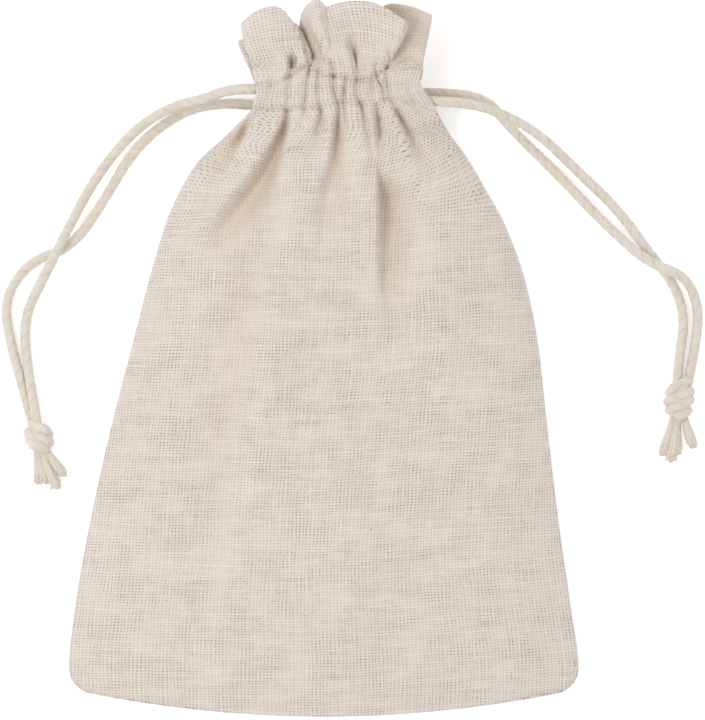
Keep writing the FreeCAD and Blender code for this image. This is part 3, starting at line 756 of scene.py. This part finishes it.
# Edges in the heading, as (y, x): the left lobe's right edge, the fold beside it, and the right lobe's edge.
LOBE_EDGE = [(66, -5.5), (62.3, -3.9), (59, -2.7), (57, -2.4)]
FOLD_EDGE = [(70, -0.2), (65.3, -1.7), (61.5, -0.3), (56.8, 1.4)]
RIGHT_EDGE = [(66.5, 16.3), (62.5, 15.2), (59.5, 13.8), (56.5, 12.1)]
HEADING_DENT = [(65, 5.4), (60, 5.9), (57.5, 6.3), (55, 6.5)]
# Each lobe's threads fan out from a centre, from the x where they run straight up.
LOBES = {"left": ((-4, 25), -9.5), "right": ((5.5, 40), 5.5)}
LEFT_LOBE_END = 0.27         # share of the flat width where the left lobe turns under
CORD_CLEAR_Z = 11.85         # lowest the casing's outer face may dip over the cords
HEADING_LENGTH = 12.5
HEM_LENGTH = 9.0


def down(y, points):
    """A curve given from the top down, as (y, value) pairs."""
    return through(-y, [(-p[0], p[1]) for p in points])


def sides_at(y):
    """X of the lying sack's left and right side at each y."""
    return [down(y, [(p[0], p[k]) for p in OUTLINE]) for k in (1, 2)]


def gather_cells():
    """The gathers' places in the flat cut, 0 to 1, and the share of each cell that stays flat on top."""
    level = np.array([52.0])
    left, right = (side[0] for side in sides_at(level))
    lines = [left] + [float(down(level, line)[0]) for line, _, _ in GATHERS] + [right]
    width = np.diff(lines)
    hidden = (FLAT_WIDTH / MM - width.sum()) / len(width)
    flat = width + hidden
    return np.concatenate([[0], np.cumsum(flat)]) / flat.sum(), 0.9 * width / flat


def across_sheet(share, y):
    """X of each flat column at each y: cloth stays flat between gathers and doubles up in them."""
    places, face_share = gather_cells()
    left, right = sides_at(y)
    gathered = np.exp(-(np.maximum(CASING_BOTTOM_Y / MM + 1.5 - y, 0.0) / 13.0) ** 1.35)
    edges = [left] + [gathered * down(y, line) + (1 - gathered) * (left + (right - left) * places[k + 1])
                      for k, (line, _, _) in enumerate(GATHERS)] + [right]
    x = np.zeros_like(y)
    for k, face in enumerate(face_share):
        s = (share - places[k]) / (places[k + 1] - places[k])
        wall = (1 - face) / 2
        folded = np.where(s < wall, 0.05 * s / wall, 0.05 + 0.9 * (s - wall) / face)
        folded = np.where(s > 1 - wall, 1 - 0.05 * (1 - s) / wall, folded)
        inside = (share >= places[k]) & (share <= places[k + 1])
        here = edges[k] + (gathered * folded + (1 - gathered) * s) * (edges[k + 1] - edges[k])
        x = np.where(inside, here, x)
    return x


def gather_relief(x, y):
    """Depth of the gathers, and the little swell of the cloth between them."""
    relief = np.zeros_like(x)
    for k, (line, half_width, depths) in enumerate(GATHERS):
        depth = 0.88 * down(y, depths) * (1 + 0.3 * noise(y, 0.0, 3.0, 40 + k))
        width = 1.2 * half_width * (1 + 0.1 * np.maximum(48.0 - y, 0.0))
        width *= 1 + 0.25 * noise(y, 0.0, 2.5, 60 + k)
        offset = x - down(y, line) - 0.12 * noise(y, 0.0, 1.6, 80 + k)
        relief -= depth * np.exp(-np.abs(offset / width) ** 1.6)
        relief += 0.22 * depth * np.exp(-((np.abs(offset) - 1.25) / 0.8) ** 2)
    return relief


def fold_relief(x, y):
    """Height that the body's folds and ridges add to the front."""
    relief = np.zeros_like(x)
    for line, depths, left_width, right_width in FOLDS:
        depth, left, right = down(y, depths), down(y, left_width), down(y, right_width)
        offset = x - down(y, line)
        t = np.where(offset < 0, offset / left, offset / right)
        relief -= depth * np.exp(-np.abs(t) ** np.where(np.minimum(left, right) < 0.9, 1.5, 2.0))
        lip = np.minimum(left, right)
        toward = np.where(left < right, offset + 2.1 * lip, offset - 2.1 * lip)
        relief += 0.22 * depth * np.exp(-(toward / (1.3 * lip + 0.3)) ** 2)
    for points, width, height in RIDGES:
        top, end = points[0][0], points[-1][0]
        fade = smooth(y, end - 10, end + 10) * (1 - smooth(y, top - 8, top + 2))
        relief += height * fade * np.exp(-((x - down(y, points)) / width) ** 2)
    return relief


def stitch_relief(x, y):
    """The two lines of stitching sink into the gathered cloth; the cords swell it between them."""
    upper, lower = through(x, UPPER_STITCHING), through(x, LOWER_STITCHING)
    pull = 0.75 + 0.5 * noise(x, 0.0, 1.3, 71)
    relief = -1.25 * pull * np.exp(-((y - upper) / 0.42) ** 2)
    relief -= 0.85 * pull * np.exp(-((y - lower) / 0.4) ** 2)
    relief += 0.45 * np.exp(-((y - upper - 1.3) / 0.75) ** 2)
    middle = (upper + lower) / 2
    return relief + 0.35 * np.exp(-((y - middle) / (0.36 * (upper - lower))) ** 4)


def past_lobe(share, x, y):
    """X to look relief up by: cloth folded behind the right lobe counts as lying beyond its edge."""
    tucked = smooth(share, 0.84, 0.875) * smooth(y, 57.0, 60.0)
    return x + tucked * np.maximum(down(y, RIGHT_EDGE) + 1.0 - x, 0.0)


def heading_relief(x, y):
    """The heading's lobes: steps where one lobe lies over the next, and dents at its foot."""
    lobe, fold, right = down(y, LOBE_EDGE), down(y, FOLD_EDGE), down(y, RIGHT_EDGE)
    above = smooth(y, 56.2, 59.0)
    between = np.clip((x - lobe) / np.maximum(fold - lobe, 0.5), 0, 1)
    inside = smooth(x, lobe - 0.15, lobe + 0.35) * (1 - smooth(x, fold - 0.7, fold + 0.15))
    relief = -above * (1 - smooth(y, 63.0, 69.0)) * inside * (2.9 - 1.3 * between)
    relief += 0.5 * above * np.exp(-((x - fold - 0.9) / 0.9) ** 2)
    relief -= 2.3 * above * smooth(x, right - 0.1, right + 0.45) * (1 - 0.5 * smooth(x, right + 1, right + 5))
    dent = down(y, HEADING_DENT)
    width = 0.35 + 0.75 * smooth(y, 56.5, 60.5)
    relief -= 2.3 * smooth(y, 55.0, 58.5) * (1 - smooth(y, 60.0, 64.5)) * np.exp(-((x - dent) / width) ** 2)
    relief -= 1.3 * smooth(y, 54.0, 56.0) * (1 - smooth(y, 57.0, 60.5)) * np.exp(-((x + 5.9) / 0.75) ** 2)
    return relief


def bottom_edge(x):
    """The sack's curved bottom edge with its rounded corners, in mm."""
    corner = np.clip(np.abs(x) - 46.0, 0, 4.0)
    return -69.9 + 1.7 * (x / 28.0) ** 2 + 4.0 - np.sqrt(np.maximum(16.0 - corner ** 2, 0.0))


BODY_TOP = 44.0              # mm: the gathered neck begins here
BODY_ROWS, NECK_ROWS, HEADING_ROWS, TURN_ROWS, HEM_ROWS = 190, 55, 51, 4, 11
FRONT_NECK_Z = 11.9          # mm: the front cloth's edge where it lies over the cords
BACK_PLEATS = 9
INNER_GAP = 0.62             # mm: from the heading's outer layer to the layer folded behind it
FRONT_HEM_Z, BACK_HEM_Z = 9.0, 3.9


def outer_face(front, share):
    """The cloth's outer face, bottom edge to heading's foot: points in mm and flat cut in metres."""
    top = CASING_TOP_Y / MM
    start = bottom_edge((2 * share - 1) * 50.0)[None, :]
    body = np.linspace(0, 1, BODY_ROWS) ** 0.94
    neck = np.linspace(BODY_TOP, top, NECK_ROWS + 1)[1:]
    y = np.concatenate([start + (BODY_TOP - start) * body[:, None], np.repeat(neck[:, None], len(share), 1)])
    share = np.broadcast_to(share[None, :], y.shape)
    x = across_sheet(share, y)
    left, right = sides_at(y)
    s = np.clip(np.abs(2 * (x - left) / (right - left) - 1), 0, 1)
    inner = smooth(1 - s, 0.0, 0.16)
    bottom = np.sqrt(1 - (1 - np.clip((y - start) / 7.0, 0, 1)) ** 2)
    seam = SEAM_Z / MM
    if front:
        edge = seam + (FRONT_NECK_Z - seam) * smooth(y, 43.0, 50.5)
        z = edge + (down(y, CROWN[::-1]) - edge) * (1 - s ** 2.2) ** 0.62 * bottom
        z = z + inner * bottom * fold_relief(x, y) + smooth(1 - s, 0.0, 0.05) * gather_relief(x, y)
        z = z + stitch_relief(x, y) * smooth(y, 45.0, 48.0)
        soft = 0.2 * noise(x * 0.8, y * 0.45, 11.0, 1) + 0.1 * noise(x, y * 0.7, 4.5, 2)
        pucker = (0.27 * noise(x, y, 1.4, 3) + 0.13 * noise(x, y * 1.3, 0.9, 6)) * smooth(y, 42.0, 49.0)
        z = z + (soft + pucker) * inner * bottom
        over_cords = smooth(y, 48.4, 49.2) * (1 - smooth(y, 53.9, 54.6))
        z = np.where(over_cords > 0, np.maximum(z, CORD_CLEAR_Z * over_cords + z * (1 - over_cords)), z)
    else:
        z = 0.25 + (seam - 0.25) * np.maximum(s ** 12, 1 - bottom) * (1 - smooth(y, BODY_TOP, 50.0))
        z = z - 2.0 * gather_relief(x, y) + 0.12 * (1 + noise(x, y * 0.6, 9.0, 4)) * inner
        z = np.minimum(z, np.where(y > 47.5, 0.55, 9.0))
    flat = np.stack([share * FLAT_WIDTH, (y - BOTTOM_Y / MM) * MM], -1)
    return np.stack([x, y, np.maximum(z, 0.02)], -1), flat


def heading_face(front, share, foot):
    """The outer face of the heading, from its foot to the top edge."""
    edge = FRONT_TOP_EDGE if front else BACK_TOP_EDGE
    top_x, top_y, top_z = (through(share, [(p[0], p[k]) for p in edge]) for k in (1, 2, 3))
    top_y = top_y - (0.95 if front else 0.3)
    rows = []
    for t in np.linspace(0, 1, HEADING_ROWS + 1)[1:]:
        open_up = smooth(t, -0.12, 1.05) * 0.45 + 0.55 * t
        x = foot[:, 0] * (1 - open_up) + top_x * open_up
        y = foot[:, 1] + (top_y - foot[:, 1]) * t
        base = 13.4 if front else 0.5
        foot_share, past_foot = math.exp(-7 * t), 1 - math.exp(-9 * t)
        z = (foot[:, 2] * foot_share + base * (1 - foot_share)) * (1 - t ** 1.3) + top_z * t ** 1.3
        if front:
            z = z + gather_relief(x, y) * past_foot
            z = z + heading_relief(past_lobe(share, x, y), y) * (1 - t ** 6)
            z = z + stitch_relief(x, y) * past_foot * math.exp(-((t / 0.3) ** 2))
            z = z + 0.55 * math.sin(math.pi * t) + 0.1 * noise(x, y, 2.6, 31) * min(1.0, 4 * t)
        else:
            pleats = 1.3 * np.abs(np.sin(math.pi * BACK_PLEATS * share)) - 0.6
            z = z + (pleats + 0.2 * noise(x, y, 3.0, 32)) * smooth(t, 0.0, 0.5)
        rows.append(np.stack([x, y, np.maximum(z, 0.02)], -1))
    return np.stack(rows)


def fan_out(spot, x, y, share, lobe):
    """Turns the threads of a lobe of the heading to run out from a centre below it."""
    centre, anchor_x = LOBES[lobe]
    out = np.arctan2(x - centre[0], y - centre[1])
    radius = np.hypot(x - centre[0], y - centre[1])
    foot = int(np.argmax(y[:, COLUMNS // 2] >= 57.0))
    column = int(np.argmin(np.abs(x[foot] - anchor_x)))
    if lobe == "right":
        rows, side = slice(None), share > share[0, column]
    else:
        rows, side = slice(foot, foot + 1), share < LEFT_LOBE_END
    first = slice(column, column + 1)
    turned = np.stack([(64.0 - centre[1]) * (out - out[rows, first]), radius - radius[rows, first]], -1)
    fanned = spot[rows, first] + turned * MM
    beyond = past_lobe(share, x, y) - down(y, RIGHT_EDGE)
    weight = side * smooth(y, 56.0, 60.5) * (1 - smooth(beyond, -0.2, 0.4))
    return spot + (fanned - spot) * weight[..., None]


def weave_coordinates(points, flat):
    """Where the threads run: even spacing over the surface, turned where the cloth flares out."""
    smoothed = points.copy()
    for _ in range(3):
        smoothed[1:-1] = (smoothed[:-2] + smoothed[1:-1] * 2 + smoothed[2:]) / 4
    along = np.linalg.norm(np.diff(smoothed, axis=1), axis=2) * MM
    step = np.minimum(np.diff(flat[:, :, 0], axis=1), 1.05 * along)
    across = np.concatenate([np.zeros((len(points), 1)), np.cumsum(step, axis=1)], 1)
    middle = int(0.47 * COLUMNS)
    across = across - across[:, middle:middle + 1]
    x, y = points[:, :, 0], points[:, :, 1]
    shoulder = np.exp(-(np.maximum(44.0 - y, 0.0) / 10.0) ** 2) * (1 - smooth(y, 49.0, 56.0))
    rise = 0.05 * x * smooth(x, -20.0, 25.0)
    rise = rise + 0.42 * shoulder * 2.5 * np.log1p(np.exp(np.clip((x - 13.0) / 2.5, -30, 30)))
    rise = rise + 0.3 * shoulder * 2.5 * np.log1p(np.exp(np.clip((-12.0 - x) / 2.5, -30, 30)))
    spot = np.stack([across, flat[:, :, 1] - rise * MM], -1)
    share = np.linspace(0, 1, COLUMNS)[None, :]
    for lobe in LOBES:
        spot = fan_out(spot, x, y, share, lobe)
    return spot + 0.4


def crease_depth(points):
    """How deep each point lies in a fold, gather or dent, from 0 to 1: the mask of the painted shade there.
    """
    x, y = points[:, :, 0], points[:, :, 1]
    foot = CASING_TOP_Y / MM
    share = np.linspace(0, 1, points.shape[1])[None, :]
    heading = heading_relief(past_lobe(share, x, y), y)
    depth = gather_relief(x, y) * 0.8 + np.where(y > foot, heading, fold_relief(x, y))
    return np.clip(-depth / 2.6 - 0.06, 0, 1)


def closed_weave(points):
    """How far the holes are closed at each point, from 0 to 1."""
    x, y = points[:, :, 0], points[:, :, 1]
    closed = np.zeros_like(x)
    for line, width, strength in CLOSED_WEAVE:
        top, end = line[0][0], line[-1][0]
        fade = smooth(y, end - 4.0, end + 3.0) * (1 - smooth(y, top - 2.0, top + 3.0))
        wander = 0.5 * width * noise(x * 0.4, y * 0.4, 2.2, 90)
        closed = np.maximum(closed, strength * fade * np.exp(-((x - down(y, line) + wander) / width) ** 4))
    return closed


def make_cloth(front):
    """One sheet: the outer face, folded over at the heading's top edge, and its hem turned down inside."""
    share = np.linspace(0, 1, COLUMNS)
    outer, outer_flat = outer_face(front, share)
    heading = heading_face(front, share, outer[-1])
    up = 1 if front else -1
    flat_at = outer_flat[-1, :, 1]
    heading_flat = [np.stack([share * FLAT_WIDTH, flat_at + HEADING_LENGTH * MM * (i + 1) / len(heading)], -1)
                    for i in range(len(heading))]
    rows, flats = [], []
    for angle in np.linspace(0, math.pi, TURN_ROWS + 2)[1:-1]:
        turn = heading[-1].copy()
        turn[:, 1] += 0.5 * INNER_GAP * math.sin(angle)
        turn[:, 2] -= up * 0.5 * INNER_GAP * (1 - math.cos(angle))
        rows.append(turn)
        flats.append(heading_flat[-1] + (0.0, 0.2 * angle * MM))
    for i in range(len(heading) - 1, -1, -2):
        inner = heading[i].copy()
        inner[:, 2] -= up * INNER_GAP
        rows.append(inner)
        flats.append(heading_flat[-1] + (0.0, (HEADING_LENGTH * (1 - (i + 1) / len(heading)) + 1.0) * MM))
    foot = rows[-1]
    hem_z = FRONT_HEM_Z if front else BACK_HEM_Z
    for t in np.linspace(0, 1, HEM_ROWS + 1)[1:]:
        y = foot[:, 1] - HEM_LENGTH * t
        lowered = float(smooth(t, 0.0, 0.3))
        inner = np.stack([across_sheet(share, y), y, foot[:, 2] * (1 - lowered) + hem_z * lowered], -1)
        rows.append(inner)
        flats.append(flats[-1] + (0.0, HEM_LENGTH / HEM_ROWS * MM))
    points = np.concatenate([outer, heading, np.stack(rows)])
    points[:, :, 2] = np.maximum(points[:, :, 2], 0.02)
    flat = np.concatenate([outer_flat, np.stack(heading_flat), np.stack(flats)])
    name = "front_cloth" if front else "back_cloth"
    # The mark for the weave's painted shade in the folds, gathers and dents.
    marks = {"crease_shade": crease_depth(points)}
    if front:
        marks["closed"] = closed_weave(points)
    sheet = grid_mesh(name, points * MM, flat, not front, weave_coordinates(points, flat), marks)
    return thicken(sheet, CLOTH), outer * MM


front_cloth, front_points = make_cloth(True)
back_cloth, back_points = make_cloth(False)
settle(back_cloth, "sack", "cloth", CLOTH_MATERIAL, "back_panel", "back_casing", "back_heading")
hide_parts("front_panel", "front_casing", "front_heading")
give_material(front_cloth, CLOTH_MATERIAL)
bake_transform(front_cloth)


# --- stitches and seams ---

def casing_stitch_row(name, points, stitching, above):
    """Short stitches over the gathers along one line of the casing, lying on the cloth."""
    rng = np.random.default_rng(14)
    stitches = []
    for middle in np.arange(0.03, 0.98, 0.026):
        line = []
        for offset in (-0.007, -0.0035, 0.0, 0.0035, 0.007):
            column = int((middle + offset) * (COLUMNS - 1))
            y = through(points[:, column, 0] / MM, stitching) * MM
            row = int(np.argmin(np.abs(points[:, column, 1] - y)))
            line.append(points[row, column] + (0, 0, above * (1 - 60 * abs(offset) * 4)))
        line = np.array(line)
        line[:, 1] += rng.uniform(-0.08, 0.08) * MM
        stitches.append(tube("stitch", evenly(line, 0.12 * MM), 0.12 * MM, 8))
    return join(name, stitches)


def add_stitches():
    for side, points, above in (("front", front_points, 0.1 * MM), ("back", back_points, 0.0)):
        for place, stitching in (("lower", LOWER_STITCHING), ("upper", UPPER_STITCHING)):
            row = casing_stitch_row(f"{side}_{place}_stitch_row", points, stitching, above)
            settle(row, "sack", "thread", THREAD_MATERIAL, f"{side}_casing_{place}_stitches")


def seam_allowance(name, edge, inward):
    """Two plies of cloth pressed together along an edge, cut slightly unevenly. Edge is in mm."""
    edge = edge * MM
    fold, width = 0.6 * MM, 5.0 * MM
    plies = []
    for ply, z in enumerate((SEAM_Z - 0.03 * MM, SEAM_Z + 0.27 * MM)):
        rows = []
        for share in np.arange(6) / 5:
            wave = 0.25 * MM * noise(np.arange(len(edge)) * 1.0, 0.0, 3.0, 50 + ply) * share
            row = edge + np.array(inward) * (fold + (width - fold) * share + wave[:, None])
            rows.append(np.concatenate([row, np.full((len(edge), 1), z)], 1))
        points = np.stack(rows)
        plies.append(thicken(grid_mesh(name, points, points[:, :, :2]), 0.25 * MM))
    return join(name, plies)


def add_seams():
    y = np.linspace(47.0, -60.0, 150)
    x = np.linspace(-44.0, 44.0, 120)
    left, right = sides_at(y)
    for name, node, edge, inward in (("left", "left_side_seam", (left, y), (1, 0)),
                                     ("right", "right_side_seam", (right, y), (-1, 0)),
                                     ("bottom", "bottom_seam", (x, bottom_edge(x)), (0, 1))):
        strip = seam_allowance(f"{name}_allowance", np.stack(edge, 1), inward)
        settle(strip, "sack", "seam_cloth", SEAM_MATERIAL, node)


add_stitches()
add_seams()
for node in ("left_seam_stitches", "right_seam_stitches", "bottom_seam_stitches"):
    give_material(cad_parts[node], THREAD_MATERIAL)


# --- floor and light ---

def add_floor():
    mesh = bpy.data.meshes.new("floor")
    size = 1.5
    corners = [(-size, -size, 0), (size, -size, 0), (size, size, 0), (-size, size, 0)]
    mesh.from_pydata(corners, [], [(0, 1, 2, 3)])
    floor = add_object("floor", mesh)
    material = bpy.data.materials.new("pale_floor")
    material.use_nodes = True
    set_inputs(material.node_tree.nodes["Principled BSDF"], {
        "Base Color": (0.97, 0.97, 0.97, 1.0), "Roughness": 0.9, "Specular IOR Level": 0.0,
        "Emission Color": (1.0, 1.0, 1.0, 1.0), "Emission Strength": 0.3})
    give_material(floor, material)


def add_area_light(name, place, size, power):
    """A round light that points at the origin."""
    data = bpy.data.lights.new(name, "AREA")
    data.shape = "DISK"
    data.size = size
    data.energy = power
    light = add_object(name, data)
    light.location = place
    light.rotation_euler = (-Vector(place)).to_track_quat("-Z", "Y").to_euler()


def add_light():
    world = bpy.data.worlds.new("world")
    world.use_nodes = True
    set_inputs(world.node_tree.nodes["Background"], {"Color": (1.0, 1.0, 1.0, 1.0), "Strength": 0.72})
    scene = bpy.context.scene
    scene.world = world
    add_area_light("key", (-0.45, -0.05, 0.75), size=0.35, power=2.35)
    add_area_light("fill", (0.5, 0.5, 0.6), size=0.6, power=0.95)
    scene.view_settings.view_transform = "Standard"
    scene.view_settings.look = "None"


add_floor()
add_light()
